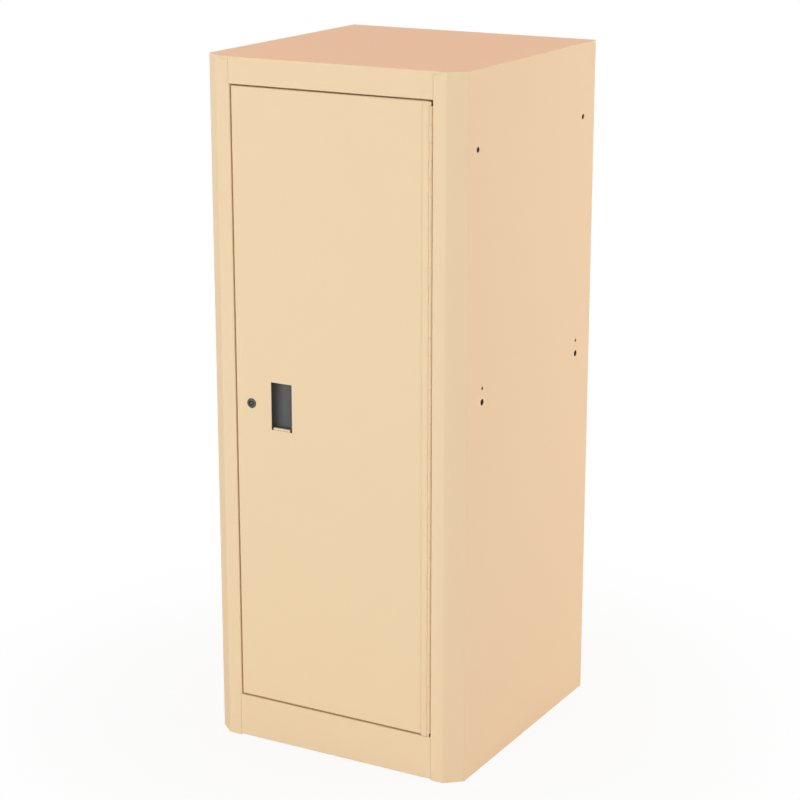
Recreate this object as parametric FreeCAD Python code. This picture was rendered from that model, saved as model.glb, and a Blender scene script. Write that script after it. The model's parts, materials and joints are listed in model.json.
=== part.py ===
import FreeCAD
import Part

import math
import os

# A side locker for a tool chest: a tall sheet-steel cabinet with one lockable door, which bolts to either
# side of the chest. Millimetres. +X is to the right seen from the front, +Y to the back and +Z up. The origin
# is on the floor, under the middle of the cabinet.

# Cabinet
CABINET_WIDTH = 440.0
CABINET_DEPTH = 450.0
CABINET_HEIGHT = 1090.0
SHEET = 1.2  # body and door sheet
BEND = 0.8  # inside radius of a bend in the body sheet
FIT = 0.2  # gap between two body pieces that are welded where they lap
SEAM_GAP = 0.35  # between a rail and a stile
EDGE_ROUND = 0.9  # outer edge of the top sheet
CHAMFER_WIDTH = 25.5  # bevelled front corner, measured along X
CHAMFER_DEPTH = 21.7  # the same, along Y
REAR_FLANGE = 18.0
TOP_FLANGE = 15.0
BASE_FLANGE = 20.0
FLANGE_END = 12.0  # how far the top and base flanges stop short of the corners

# Front frame
RAIL_SEAM = 47.0  # outer side to the seam between a stile and the rails
LATCH_STILE = 49.1  # outer side to the door opening, at the latch side
HINGE_STILE = 47.8  # the same, at the hinge side
STILE_RETURN = 25.0  # depth of the opening's side faces
LANDING = 12.0  # flange that the door closes against
HEADER_HEIGHT = 41.0
HEADER_LIP = 4.4  # height of the flared ends of the header
LIP_TAPER = 15.0  # length over which a flared end runs out
FLOOR_LEVEL = 71.1
SKIRT_CLEARANCE = 1.5  # under the bottom rail
SKIRT_RETURN = 20.0
WELD_TAB = 14.0  # tab of a rail behind the stile
TAB_MARGIN = 5.0
PANEL_FLANGE = 15.0  # down-turned edges of the floor and top panels
BACK_FLANGE = 12.0

# Holes that bolt the locker to a chest, measured from the front, the back and the floor
UPPER_BOLT_RADIUS = 4.25
UPPER_BOLT_FRONT = 49.1
UPPER_BOLT_REAR = 42.9
UPPER_BOLT_HEIGHT = 975.0
LOWER_BOLT_RADIUS = 5.0
LOWER_BOLT_FRONT = 69.7
LOWER_BOLT_REAR = 52.7
LOWER_BOLT_HEIGHT = 594.8
PILOT_RADIUS = 2.8
PILOT_RISE = 21.4  # above the lower bolts

# Shelf standards and shelves
STANDARD_SHEET = 1.2
STANDARD_DEPTH = 6.0
STANDARD_WEB = 20.0
STANDARD_FRONT = 105.0  # cabinet front to the front standard's middle
STANDARD_REAR = 95.0  # cabinet back to the rear standard's middle
STANDARD_END_GAP = 6.0
SLOT_WIDTH = 9.0
SLOT_HEIGHT = 3.6
SLOT_PITCH = 50.0
SLOT_START = 45.0  # floor panel to the first slot
SLOT_END_MARGIN = 30.0
SHELF_SLOTS = (3, 8, 13)  # slot that carries the clips of each shelf
SHELF_SHEET = 1.0
SHELF_BEND = 0.8
SHELF_SIDE_GAP = 0.6  # to the shelf standards
SHELF_SETBACK = 40.0  # cabinet front to the shelf
SHELF_REAR_GAP = 4.0
SHELF_DROP = 20.0
SHELF_HEM = 9.0
SHELF_NOTCH = 2.6
CLIP_SHEET = 1.6
CLIP_WIDTH = 8.0
CLIP_RISE = 8.0  # slot to the clip's ledge
CLIP_TAIL = 12.0  # below the slot
CLIP_LEDGE = 13.0
CLIP_HOOK = 6.0
CLIP_GAP = 0.3

# Door
DOOR_THICKNESS = 22.0
LATCH_GAP = 2.1
TOP_GAP = 2.1  # above the door
FOOT_GAP = 2.5  # below the door
DOOR_BEND = 1.0
DOOR_RETURN = 14.0
LINER_SHEET = 0.9
LINER_MARGIN = 3.0
LINER_RELIEF = 1.2  # around the lock barrel
STIFFENER_SHEET = 1.0
STIFFENER_WEB = 50.0
STIFFENER_END_GAP = 30.0
STIFFENER_OFFSET = 60.0  # from the door's middle towards the hinge

# Piano hinge
HINGE_SHEET = 1.15
KNUCKLE_RADIUS = 2.4
KNUCKLE_PROUD = 1.2  # in front of the door's face
PIN_RADIUS = 1.2
PIN_GAP = 0.05
HINGE_SWING_GAP = 0.6  # knuckle to the hinge stile, which lets the door pass a right angle
HINGE_LEAF = 12.6  # pin to the leaf's edge
HINGE_TOP_GAP = 0.8  # leaf below the door's top
HINGE_BELOW_DOOR = 2.0  # leaf below the door's foot
KNUCKLE_LENGTH = 76.2
KNUCKLE_GAP = 0.15
KNUCKLE_MARGIN = 5.8  # bare end of a leaf
BARE_END_REACH = 0.7  # of the door leaf's bare ends beyond the pin's middle
KNUCKLE_CUT = 0.2  # leaf edge to the other leaf's knuckles
LEAF_SEAT_GAP = 0.05
JOGGLE_RUN = 2.4
PAN_PIN_GAP = 2.9  # pin to the side of the door pan

# Recessed pull
PULL_WIDTH = 37.0
PULL_HEIGHT = 76.0  # with the notches at its foot
PULL_FROM_DOOR_EDGE = 62.7
PULL_NOTCH_WIDTH = 3.6
PULL_NOTCH_HEIGHT = 3.6
PULL_TAB_DEPTH = 5.0
PULL_TAB_BEND = 1.2
CUP_WALL = 2.0
CUP_DEPTH = 14.5
CUP_SHALLOW = 3.4  # depth at the shallow side
CUP_SWEEP = 9.0  # radius of the curved back
CUP_UNDERCUT = 4.0  # hollow behind the cut's left edge
CUP_RIM = 10.0
CUP_RIM_THICKNESS = 2.0
CUP_RIM_CORNER = 3.0

# Lock
LOCK_HEIGHT = 560.4  # the lock is level with the middle of the pull
LOCK_FROM_DOOR_EDGE = 27.2
BARREL_RADIUS = 7.0
BARREL_FLATS = 12.4
BARREL_RIM_RADIUS = 7.8
BARREL_RIM_PROUD = 1.6
BARREL_LENGTH = 27.4  # behind the door's face
PLUG_RADIUS = 5.0
PLUG_RECESS = 0.5
RUNNING_GAP = 0.05
KEYWAY_OUTER = 4.1
KEYWAY_INNER = 2.4
KEYWAY_DEPTH = 5.0
KEYWAY_NOTCH = 1.5
LOCK_NUT_FLATS = 18.0
LOCK_NUT_HEIGHT = 4.0
LOCK_HOLE_GAP = 0.1
TAIL_SQUARE = 6.0
CAM_SHEET = 2.2
CAM_LENGTH = 34.0
CAM_WIDTH = 15.0
CAM_SCREW_FLATS = 8.0
CAM_SCREW_HEIGHT = 2.6
CAM_SCREW_RADIUS = 2.0
CAM_SCREW_LENGTH = 9.0

# Bumpers and magnetic catches
BUMPER_WIDTH = 8.0
BUMPER_LENGTH = 24.0
BUMPER_GAP = 0.3
BUMPER_END_MARGIN = 70.0
CATCH_WIDTH = 12.0
CATCH_HEIGHT = 42.0
CATCH_DEPTH = 13.0
CATCH_WALL = 2.0
CATCH_EAR = 10.0
CATCH_EAR_SHEET = 2.0
CATCH_END_MARGIN = 125.0
POLE_PROUD = 0.6
POLE_SHEET = 1.6
STRIKE_SHEET = 1.2
STRIKE_MARGIN = 1.0
CATCH_GAP = 0.3

# Places that follow from the sizes
side = CABINET_WIDTH / 2
front = -CABINET_DEPTH / 2
back = CABINET_DEPTH / 2
seam = side - RAIL_SEAM
wall = side - SHEET  # inner face of a side wall
opening_top = CABINET_HEIGHT - HEADER_HEIGHT
top_under = CABINET_HEIGHT - SHEET
latch_x = -side + LATCH_STILE
hinge_x = side - HINGE_STILE
landing_y = front + STILE_RETURN
pin_x = hinge_x - HINGE_SWING_GAP - KNUCKLE_RADIUS
pin_y = front + KNUCKLE_RADIUS - KNUCKLE_PROUD
door_left = latch_x + LATCH_GAP
door_right = pin_x - PAN_PIN_GAP
door_bottom = FLOOR_LEVEL + FOOT_GAP
door_top = opening_top - TOP_GAP
door_back = front + DOOR_THICKNESS
liner_back = door_back + LINER_SHEET
leaf_edge = pin_x - HINGE_LEAF
leaf_bottom = door_bottom - HINGE_BELOW_DOOR
leaf_top = door_top - HINGE_TOP_GAP
joggle_y = front + HINGE_SHEET + LEAF_SEAT_GAP
standard_face = wall - STANDARD_DEPTH
slot_base = FLOOR_LEVEL + SLOT_START
back_panel_front = back - 2 * SHEET
pull_x = door_left + PULL_FROM_DOOR_EDGE + PULL_WIDTH / 2
pull_foot = LOCK_HEIGHT - PULL_HEIGHT / 2
pull_bottom = pull_foot + PULL_NOTCH_HEIGHT
pull_top = LOCK_HEIGHT + PULL_HEIGHT / 2
lock_x = door_left + LOCK_FROM_DOOR_EDGE
lock_z = LOCK_HEIGHT
barrel_end = front + BARREL_LENGTH

X_AXIS = FreeCAD.Vector(1, 0, 0)
Y_AXIS = FreeCAD.Vector(0, 1, 0)
Z_AXIS = FreeCAD.Vector(0, 0, 1)


def vec(x, y, z):
    return FreeCAD.Vector(x, y, z)


def in_xy(z):
    """Places a flat section in the plane at height z."""
    return lambda u, v: vec(u, v, z)


def in_xz(y):
    """Places a flat section in the plane at depth y."""
    return lambda u, v: vec(u, y, v)


def in_yz(x):
    """Places a flat section in the plane at x."""
    return lambda u, v: vec(x, u, v)


def box(x0, x1, y0, y1, z0, z1):
    return Part.makeBox(x1 - x0, y1 - y0, z1 - z0, vec(x0, y0, z0))


def prism(points, place, travel):
    """The polygon through the points, placed in its plane and extruded by travel."""
    corners = [place(u, v) for u, v in points]
    return Part.Face(Part.makePolygon(corners + corners[:1])).extrude(travel)


def rod(radius, start, axis, length):
    return Part.makeCylinder(radius, length, start, axis)


def direction(a, b):
    length = math.hypot(b[0] - a[0], b[1] - a[1])
    return (b[0] - a[0]) / length, (b[1] - a[1]) / length


def offset_right(points, distance):
    """The open path moved sideways, to the right of its direction, with its corners mitred."""
    normals = [(dy, -dx) for dx, dy in (direction(a, b) for a, b in zip(points, points[1:]))]
    moved = []
    for index, (x, y) in enumerate(points):
        before = normals[max(index - 1, 0)]
        after = normals[min(index, len(normals) - 1)]
        share = distance / (1 + before[0] * after[0] + before[1] * after[1])
        moved.append((x + (before[0] + after[0]) * share, y + (before[1] + after[1]) * share))
    return moved


def rounded_path(points, radii, place):
    """Edges along an open path, with an arc of the given radius at each inner corner."""
    edges = []
    start = points[0]
    for before, corner, after, radius in zip(points, points[1:], points[2:], radii):
        d1 = direction(before, corner)
        d2 = direction(corner, after)
        half_turn = math.acos(max(-1.0, min(1.0, d1[0] * d2[0] + d1[1] * d2[1]))) / 2
        setback = radius * math.tan(half_turn)
        arc_start = (corner[0] - d1[0] * setback, corner[1] - d1[1] * setback)
        arc_end = (corner[0] + d2[0] * setback, corner[1] + d2[1] * setback)
        inward = math.hypot(d2[0] - d1[0], d2[1] - d1[1])
        sagitta = radius * (1 / math.cos(half_turn) - 1)
        middle = (
            corner[0] + (d2[0] - d1[0]) / inward * sagitta,
            corner[1] + (d2[1] - d1[1]) / inward * sagitta,
        )
        edges.append(Part.LineSegment(place(*start), place(*arc_start)).toShape())
        edges.append(Part.Arc(place(*arc_start), place(*middle), place(*arc_end)).toShape())
        start = arc_end
    edges.append(Part.LineSegment(place(*start), place(*points[-1])).toShape())
    return edges


def bent_sheet(points, thickness, bend, place, travel):
    """A bent sheet. Its face follows the points and its thickness lies to their right.

    The bend is the inside radius.
    """
    face_radii = []
    far_radii = []
    for a, b, c in zip(points, points[1:], points[2:]):
        turns_right = (b[0] - a[0]) * (c[1] - b[1]) - (b[1] - a[1]) * (c[0] - b[0]) < 0
        face_radii.append(bend + thickness if turns_right else bend)
        far_radii.append(bend if turns_right else bend + thickness)
    far_points = offset_right(points, thickness)
    edges = rounded_path(points, face_radii, place)
    edges += rounded_path(far_points, far_radii, place)
    for near, far in ((points[0], far_points[0]), (points[-1], far_points[-1])):
        edges.append(Part.LineSegment(place(*near), place(*far)).toShape())
    return Part.Face(Part.Wire(Part.__sortEdges__(edges))).extrude(travel)


def fuse(shapes):
    """One clean solid from shapes that touch or overlap."""
    return shapes[0].multiFuse(shapes[1:]).removeSplitter() if len(shapes) > 1 else shapes[0]


def cut(shape, tools):
    return shape.cut(Part.Compound(tools))


def mirrored(shape):
    """The shape's twin on the other side of the cabinet."""
    return shape.mirror(vec(0, 0, 0), X_AXIS)


# ---------------------------------------------------------------- cabinet panels


def bolt_places():
    """(y, z, radius) of the holes in each side wall."""
    places = []
    for y in (front + UPPER_BOLT_FRONT, back - UPPER_BOLT_REAR):
        places.append((y, UPPER_BOLT_HEIGHT, UPPER_BOLT_RADIUS))
    for y in (front + LOWER_BOLT_FRONT, back - LOWER_BOLT_REAR):
        places.append((y, LOWER_BOLT_HEIGHT, LOWER_BOLT_RADIUS))
        places.append((y, LOWER_BOLT_HEIGHT + PILOT_RISE, PILOT_RADIUS))
    return places


def bolt_drills():
    return [rod(r, vec(side - 2 * SHEET, y, z), X_AXIS, 3 * SHEET) for y, z, r in bolt_places()]


def header_flare(margin):
    """The flared right-hand end of the header: a sliver that runs out along the stile's top."""
    end = side - CHAMFER_WIDTH
    low = CABINET_HEIGHT - HEADER_LIP + margin
    points = [
        (seam - SEAM_GAP - 1, CABINET_HEIGHT), (end, CABINET_HEIGHT), (end, top_under),
        (end - LIP_TAPER, low), (seam - SEAM_GAP - 1, low),
    ]
    return prism(points, in_xz(front), vec(0, SHEET, 0))


def side_panel(stile):
    """The right-hand side, bent from one sheet: rear flange, wall, bevel, stile, return and landing."""
    wall_path = [
        (side - REAR_FLANGE, back),
        (side, back),
        (side, front + CHAMFER_DEPTH),
        (side - CHAMFER_WIDTH, front),
    ]
    frame_path = [
        (side - stile, front),
        (side - stile, landing_y),
        (side - stile - LANDING, landing_y),
    ]
    pieces = [
        bent_sheet(wall_path + path, SHEET, BEND, in_xy(low), vec(0, 0, high - low))
        for path, low, high in (
            ([(seam, front)], 0, FLOOR_LEVEL),
            (frame_path, FLOOR_LEVEL, opening_top),
            ([(seam, front)], opening_top, top_under),
        )
    ]
    flange_front = front + CHAMFER_DEPTH + FLANGE_END
    flange_back = back - REAR_FLANGE - FLANGE_END
    top_flange = box(wall - TOP_FLANGE, wall, flange_front, flange_back, top_under - SHEET, top_under)
    base_flange = box(wall - BASE_FLANGE, wall, flange_front, flange_back, 0, SHEET)
    panel = fuse(pieces + [top_flange, base_flange])
    rear_relief = box(
        side - REAR_FLANGE - FIT, wall, back - SHEET, back + SHEET,
        top_under - PANEL_FLANGE, top_under + SHEET,
    )
    return cut(panel, bolt_drills() + [header_flare(0), rear_relief])


def back_panel():
    """A flat sheet inside the rear flanges, with its foot and head turned in."""
    x = wall - BEND - FIT
    foot = SHEET + FIT
    head = top_under - FIT
    path = [
        (back_panel_front - BACK_FLANGE, head),
        (back - SHEET, head),
        (back - SHEET, foot),
        (back_panel_front - BACK_FLANGE, foot),
    ]
    panel = bent_sheet(path, SHEET, BEND, in_yz(-x), vec(2 * x, 0, 0))
    notches = [
        box(x - TOP_FLANGE - FIT, x + 1, back_panel_front - BACK_FLANGE - 1, back_panel_front, low, high)
        for low, high in ((0, SHEET * 3), (head - SHEET * 2, head + 1))
    ]
    return cut(panel, notches + [mirrored(n) for n in notches])


def body_outline(inset):
    """The cabinet's plan, moved inwards, with its bevelled front corners. Runs round from the front left."""
    slope = math.hypot(CHAMFER_WIDTH, CHAMFER_DEPTH)
    bevel_front = side - CHAMFER_WIDTH - inset * (slope - CHAMFER_WIDTH) / CHAMFER_DEPTH
    bevel_side = front + CHAMFER_DEPTH + inset * (slope - CHAMFER_DEPTH) / CHAMFER_WIDTH
    return [
        (-bevel_front, front + inset),
        (bevel_front, front + inset),
        (side - inset, bevel_side),
        (side - inset, back - inset),
        (-side + inset, back - inset),
        (-side + inset, bevel_side),
    ]


def rail_tabs(low, high):
    """Tabs at both ends of a rail, which lie behind the stiles and are welded there."""
    y = front + SHEET
    tab = box(seam - WELD_TAB, seam + WELD_TAB, y, y + SHEET, low, high)
    return [tab, mirrored(tab)]


def top_panel():
    """The top sheet with the header, its return and the upper landing."""
    sheet = prism(body_outline(0), in_xy(top_under), vec(0, 0, SHEET))
    rounded = [e for e in sheet.Edges if abs(e.CenterOfMass.z - CABINET_HEIGHT) < 1e-6]
    sheet = sheet.makeFillet(EDGE_ROUND, rounded)
    path = [
        (landing_y, opening_top - LANDING),
        (landing_y, opening_top),
        (front, opening_top),
        (front, CABINET_HEIGHT - EDGE_ROUND),
    ]
    half = seam - SEAM_GAP
    header = bent_sheet(path, SHEET, BEND, in_yz(-half), vec(2 * half, 0, 0))
    flare = header_flare(SEAM_GAP).common(box(0, side, front, back, 0, CABINET_HEIGHT - EDGE_ROUND))
    rear = box(
        -side + REAR_FLANGE, side - REAR_FLANGE, back - SHEET, back, top_under - PANEL_FLANGE + FIT, top_under
    )
    tabs = rail_tabs(opening_top + SHEET + TAB_MARGIN, top_under - SHEET - TAB_MARGIN)
    panel = fuse([sheet, header, flare, mirrored(flare), rear] + tabs)
    cut_front = landing_y - BEND
    cut_low = opening_top - LANDING - 1
    hinge_end = box(hinge_x - LANDING - FIT, side, cut_front, back, cut_low, opening_top)
    latch_end = box(-side, latch_x + LANDING + FIT, cut_front, back, cut_low, opening_top)
    return cut(panel, [hinge_end, latch_end])


def floor_panel():
    """The floor sheet with the bottom rail, turned-down edges and welding tabs."""
    inner = body_outline(SHEET + FIT)
    x_front, y_front = inner[1]
    x_side, y_side = inner[2]
    y_back = back_panel_front - FIT
    half = seam - SEAM_GAP
    plan = [
        (-half, front), (half, front), (half, y_front), (x_front, y_front),
        (x_side, y_side), (x_side, y_back), (-x_side, y_back), (-x_side, y_side),
        (-x_front, y_front), (-half, y_front),
    ]
    sheet = prism(plan, in_xy(FLOOR_LEVEL - SHEET), vec(0, 0, SHEET))
    front_edge = [
        e for e in sheet.Edges
        if abs(e.CenterOfMass.y - front) < 1e-6 and abs(e.CenterOfMass.z - FLOOR_LEVEL) < 1e-6
    ]
    sheet = sheet.makeFillet(EDGE_ROUND, front_edge)
    path = [
        (front + SKIRT_RETURN, SKIRT_CLEARANCE),
        (front, SKIRT_CLEARANCE),
        (front, FLOOR_LEVEL - EDGE_ROUND),
    ]
    rail = bent_sheet(path, SHEET, BEND, in_yz(-half), vec(2 * half, 0, 0))
    low = FLOOR_LEVEL - PANEL_FLANGE
    edge = box(x_side - SHEET, x_side, y_side + FLANGE_END, y_back - FLANGE_END, low, FLOOR_LEVEL - SHEET)
    rear = box(-seam, seam, y_back - SHEET, y_back, low, FLOOR_LEVEL - SHEET)
    tabs = rail_tabs(SKIRT_CLEARANCE + SHEET + TAB_MARGIN, FLOOR_LEVEL - SHEET - TAB_MARGIN)
    return fuse([sheet, rail, edge, mirrored(edge), rear] + tabs)


# ---------------------------------------------------------------- shelves


def standard_places():
    return front + STANDARD_FRONT, back - STANDARD_REAR


def slot_heights():
    top = top_under - STANDARD_END_GAP - SLOT_END_MARGIN
    count = int((top - slot_base) / SLOT_PITCH) + 1
    return [slot_base + index * SLOT_PITCH for index in range(count)]


def shelf_standard(y):
    """A slotted channel with its legs on the right-hand wall, centred at y."""
    half = STANDARD_WEB / 2
    path = [(wall, y - half), (standard_face, y - half), (standard_face, y + half), (wall, y + half)]
    low = FLOOR_LEVEL + STANDARD_END_GAP
    high = top_under - SHEET - STANDARD_END_GAP
    strip = bent_sheet(path, STANDARD_SHEET, STANDARD_SHEET / 2, in_xy(low), vec(0, 0, high - low))
    slots = [
        box(
            standard_face - 1, standard_face + STANDARD_SHEET + 1,
            y - SLOT_WIDTH / 2, y + SLOT_WIDTH / 2,
            z - SLOT_HEIGHT / 2, z + SLOT_HEIGHT / 2,
        )
        for z in slot_heights()
    ]
    return cut(strip, slots)


def shelf_level(slot):
    """Height of the top of a shelf whose clips hang in the given slot."""
    return slot_base + slot * SLOT_PITCH + CLIP_RISE + SHELF_DROP


def shelf(level):
    """A shelf with turned-down edges, hemmed at the front and the back, and notched corners."""
    x = standard_face - SHELF_SIDE_GAP
    y0 = front + SHELF_SETBACK
    y1 = back_panel_front - SHELF_REAR_GAP
    low = level - SHELF_DROP
    across = [(-x, low), (-x, level), (x, level), (x, low)]
    along = [(y0 + SHELF_HEM, low), (y0, low), (y0, level), (y1, level), (y1, low), (y1 - SHELF_HEM, low)]
    side_edges = bent_sheet(
        across, SHELF_SHEET, SHELF_BEND, in_xz(y0 + SHELF_NOTCH), vec(0, y1 - y0 - 2 * SHELF_NOTCH, 0)
    )
    end_edges = bent_sheet(
        along, SHELF_SHEET, SHELF_BEND, in_yz(-x + SHELF_NOTCH), vec(2 * (x - SHELF_NOTCH), 0, 0)
    )
    return fuse([side_edges, end_edges])


def shelf_clip(y, slot):
    """A clip on the right-hand standard: a hooked tongue through the slot and a ledge for the shelf's hem."""
    slot_z = slot_base + slot * SLOT_PITCH
    ledge_top = slot_z + CLIP_RISE
    face = standard_face - CLIP_GAP
    half = CLIP_WIDTH / 2
    tongue_half = CLIP_SHEET / 2
    hook_x = standard_face + STANDARD_SHEET + CLIP_GAP
    plate = box(face - CLIP_SHEET, face, y - half, y + half, slot_z - CLIP_TAIL, ledge_top)
    ledge = box(face - CLIP_LEDGE, face, y - half, y + half, ledge_top - CLIP_SHEET, ledge_top)
    tongue = box(
        face - CLIP_SHEET, hook_x + CLIP_SHEET, y - half, y + half, slot_z - tongue_half, slot_z + tongue_half
    )
    hook = box(hook_x, hook_x + CLIP_SHEET, y - half, y + half, slot_z - CLIP_HOOK, slot_z + tongue_half)
    return fuse([plate, ledge, tongue, hook])


def shelf_clips(slot):
    clips = [shelf_clip(y, slot) for y in standard_places()]
    return Part.Compound(clips + [mirrored(c) for c in clips])


# ---------------------------------------------------------------- door


def door_path():
    """Plan of the door pan, from its right return round by the seat of the hinge leaf to its left return."""
    return [
        (door_right - DOOR_RETURN, door_back),
        (door_right, door_back),
        (door_right, joggle_y),
        (leaf_edge, joggle_y),
        (leaf_edge - JOGGLE_RUN, front),
        (door_left, front),
        (door_left, door_back),
        (door_left + DOOR_RETURN, door_back),
    ]


def pull_opening(y0, y1):
    """The cut for the recessed pull, with a relief notch at each lower corner."""
    left = pull_x - PULL_WIDTH / 2
    right = pull_x + PULL_WIDTH / 2
    return fuse([
        box(left, right, y0, y1, pull_bottom, pull_top),
        box(left, left + PULL_NOTCH_WIDTH, y0, y1, pull_foot, pull_top),
        box(right - PULL_NOTCH_WIDTH, right, y0, y1, pull_foot, pull_top),
    ])


def pull_tab():
    """The lower edge of the pull's cut, bent back into the door."""
    half = PULL_WIDTH / 2 - PULL_NOTCH_WIDTH
    path = [(front, pull_foot), (front, pull_bottom), (front + PULL_TAB_DEPTH, pull_bottom)]
    return bent_sheet(path, SHEET, PULL_TAB_BEND, in_yz(pull_x - half), vec(2 * half, 0, 0))


def lock_hole(y0, y1, gap):
    """The double-flatted hole that keeps the lock barrel from turning."""
    hole = rod(BARREL_RADIUS + gap, vec(lock_x, y0, lock_z), Y_AXIS, y1 - y0)
    half = BARREL_FLATS / 2 + gap
    reach = 2 * BARREL_RADIUS
    return hole.common(box(lock_x - half, lock_x + half, y0, y1, lock_z - reach, lock_z + reach))


def door_end_folds():
    """What a fold takes off the front edges of the door's top and foot."""
    radius = DOOR_BEND + SHEET
    width = door_right - door_left
    folds = []
    for end, inward in ((door_top, -1), (door_bottom, 1)):
        centre = end + inward * radius
        corner = box(door_left, door_right, front, front + radius, min(end, centre), max(end, centre))
        folds.append(corner.cut(rod(radius, vec(door_left, front + radius, centre), X_AXIS, width)))
    return folds


def door_skin():
    """The door's outer pan: face, folded edges and returns, with the seat of the hinge leaf set back."""
    height = door_top - door_bottom
    pan = bent_sheet(door_path(), SHEET, DOOR_BEND, in_xy(door_bottom), vec(0, 0, height))
    end_plan = door_path()[1:-1]
    inner_left = door_left + SHEET
    inner_right = door_right - SHEET
    shapes = [pan]
    for z in (door_bottom, door_top - SHEET):
        cap = prism(end_plan, in_xy(z), vec(0, 0, SHEET))
        bend = DOOR_BEND + SHEET
        corners = [
            e for e in cap.Edges
            if abs(e.tangentAt(0).z) > 0.9 and abs(e.CenterOfMass.x - door_left) < 1e-6
        ]
        shapes.append(cap.makeFillet(bend, corners))
    for z0 in (door_bottom, door_top - DOOR_RETURN):
        shapes.append(box(inner_left, inner_right, door_back - SHEET, door_back, z0, z0 + DOOR_RETURN))
    pan = fuse(shapes)
    face_cut = pull_opening(front - 1, front + SHEET + 1)
    hole = lock_hole(front - 1, front + SHEET + 1, LOCK_HOLE_GAP)
    pan = cut(pan, [face_cut, hole] + door_end_folds())
    return fuse([pan, pull_tab()])


def door_liner():
    """The inner sheet that closes the back of the door."""
    sheet = box(
        door_left + LINER_MARGIN, door_right - LINER_MARGIN, door_back, liner_back,
        door_bottom + LINER_MARGIN, door_top - LINER_MARGIN,
    )
    lock_relief = rod(
        BARREL_RADIUS + LINER_RELIEF, vec(lock_x, door_back - 1, lock_z), Y_AXIS, LINER_SHEET + 2
    )
    return cut(sheet, [lock_relief])


def door_stiffener():
    """An upright channel between the face and the liner, with its web on the face."""
    x = (door_left + door_right) / 2 + STIFFENER_OFFSET
    half = STIFFENER_WEB / 2
    web_y = front + SHEET
    path = [(x - half, door_back), (x - half, web_y), (x + half, web_y), (x + half, door_back)]
    low = door_bottom + STIFFENER_END_GAP
    high = door_top - STIFFENER_END_GAP
    return bent_sheet(path[::-1], STIFFENER_SHEET, BEND, in_xy(low), vec(0, 0, high - low))


# ---------------------------------------------------------------- recessed pull


def cup_section(inset, start):
    """Plan of the cup's hollow, or of its outside with a negative inset. It is deep on the left."""
    y0 = front + SHEET
    left = pull_x - PULL_WIDTH / 2 - CUP_UNDERCUT + inset
    right = pull_x + PULL_WIDTH / 2 - inset
    deep = y0 + CUP_DEPTH - inset
    shallow = y0 + CUP_SHALLOW - inset
    return [(left, y0 + start), (left, deep), (right, shallow), (right, y0 + start)]


def cup_block(inset, start, z0, z1):
    path = cup_section(inset, start)
    edges = rounded_path(path, [CUP_SWEEP - inset, 0.5], in_xy(z0))
    edges.append(Part.LineSegment(in_xy(z0)(*path[-1]), in_xy(z0)(*path[0])).toShape())
    return Part.Face(Part.Wire(Part.__sortEdges__(edges))).extrude(vec(0, 0, z1 - z0))


def pull_cup():
    """The moulded cup of the pull: a rim against the door's face sheet and a hollow with a curved back."""
    y0 = front + SHEET
    floor = pull_bottom + FIT
    half = PULL_WIDTH / 2 + CUP_RIM
    rim = box(
        pull_x - half, pull_x + half, y0, y0 + CUP_RIM_THICKNESS, pull_foot - CUP_RIM, pull_top + CUP_RIM,
    )
    rim = rim.makeFillet(CUP_RIM_CORNER, [e for e in rim.Edges if abs(e.tangentAt(0).y) > 0.9])
    shell = cup_block(-CUP_WALL, 0, pull_foot - CUP_WALL, pull_top + CUP_WALL)
    hollow = cup_block(0, CUP_RIM_THICKNESS, floor, pull_top)
    tab_room = box(
        pull_x - PULL_WIDTH / 2, pull_x + PULL_WIDTH / 2, y0, front + PULL_TAB_DEPTH + CLIP_GAP,
        pull_foot, floor,
    )
    mouth = pull_opening(y0, y0 + CUP_RIM_THICKNESS)
    return cut(fuse([rim, shell]), [hollow, tab_room, mouth])


# ---------------------------------------------------------------- lock


def lock_barrel():
    """The flatted barrel with its round rim in front of the door."""
    rim_front = front - BARREL_RIM_PROUD
    rim = rod(BARREL_RIM_RADIUS, vec(lock_x, rim_front, lock_z), Y_AXIS, BARREL_RIM_PROUD)
    outer = [e for e in rim.Edges if len(e.Vertexes) == 1 and abs(e.CenterOfMass.y - rim_front) < 1e-6]
    rim = rim.makeChamfer(BARREL_RIM_PROUD / 2, outer)
    body = lock_hole(front, barrel_end, 0)
    bore = rod(PLUG_RADIUS + RUNNING_GAP, vec(lock_x, rim_front - 1, lock_z), Y_AXIS, BARREL_LENGTH + 5)
    return cut(fuse([rim, body]), [bore])


def lock_plug():
    """The turning plug: a tubular keyway in front and a square tail behind."""
    plug_front = front - BARREL_RIM_PROUD + PLUG_RECESS
    body = rod(PLUG_RADIUS, vec(lock_x, plug_front, lock_z), Y_AXIS, barrel_end - plug_front)
    half = TAIL_SQUARE / 2
    tail_end = barrel_end + CAM_SHEET
    tail = box(lock_x - half, lock_x + half, barrel_end - 1, tail_end, lock_z - half, lock_z + half)
    start = vec(lock_x, plug_front - 1, lock_z)
    ring = rod(KEYWAY_OUTER, start, Y_AXIS, KEYWAY_DEPTH + 1)
    ring = ring.cut(rod(KEYWAY_INNER, start, Y_AXIS, KEYWAY_DEPTH + 1))
    notch = box(
        lock_x + KEYWAY_INNER + RUNNING_GAP, lock_x + PLUG_RADIUS + 1,
        plug_front - 1, plug_front + KEYWAY_DEPTH / 2,
        lock_z - KEYWAY_NOTCH / 2, lock_z + KEYWAY_NOTCH / 2,
    )
    thread_start = vec(lock_x, tail_end - CAM_SCREW_LENGTH, lock_z)
    thread = rod(CAM_SCREW_RADIUS + RUNNING_GAP, thread_start, Y_AXIS, CAM_SCREW_LENGTH + 1)
    return cut(fuse([body, tail]), [ring, notch, thread])


def tail_hole(y0, y1):
    half = TAIL_SQUARE / 2 + RUNNING_GAP
    return box(lock_x - half, lock_x + half, y0, y1, lock_z - half, lock_z + half)


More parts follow.
